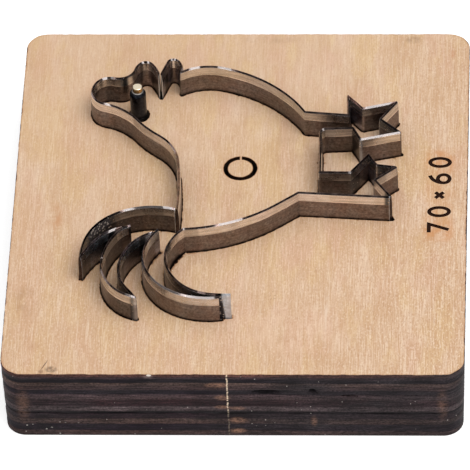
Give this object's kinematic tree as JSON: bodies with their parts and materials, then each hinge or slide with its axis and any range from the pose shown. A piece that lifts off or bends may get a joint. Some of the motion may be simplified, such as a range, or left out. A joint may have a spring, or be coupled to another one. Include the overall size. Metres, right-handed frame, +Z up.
{
  "type": "cutting die",
  "caption": "Steel-rule cutting die: a thick plywood board holding bent, bevelled steel rules that outline a rooster, with an eye punch that has a sprung ejector pin.",
  "frame": {"origin": "centre of the board's underside", "axes": "+X along the board's shorter side, from the figure's beak to its feet; +Y along its longer side, from the figure's tail to its head; +Z up, towards the cutting edges"},
  "size_m": [0.0886, 0.0954, 0.0246],
  "materials": {
    "plywood": "sanded veneer, laser-burnt sides",
    "rule_steel": "dark oiled steel, ground bevels",
    "punch_steel": "blackened steel",
    "pin_brass": "dull brass",
    "spring_steel": "drawn spring wire"
  },
  "bodies": {
    "die": {"plywood_board": "plywood", "back_rule": "rule_steel", "chest_rule": "rule_steel", "upper_foot_rule": "rule_steel", "leg_gap_rule": "rule_steel", "lower_foot_rule": "rule_steel", "belly_rule": "rule_steel", "low_feather_rule": "rule_steel", "middle_feather_rule": "rule_steel", "top_feather_inner_rule": "rule_steel", "top_feather_outer_rule": "rule_steel", "eye_punch": "punch_steel", "punch_plug": "punch_steel", "ejector_spring": "spring_steel"},
    "ejector": {"ejector_pin": "pin_brass"}
  },
  "joints": [
    {"name": "ejector_press", "type": "slide", "parent": "die", "child": "ejector", "axis": [0, 0, 1], "range_m": [-0.0025, 0], "stiffness_N_per_m": 800, "springref_m": 0.002, "deforming": ["ejector_spring"]}
  ]
}
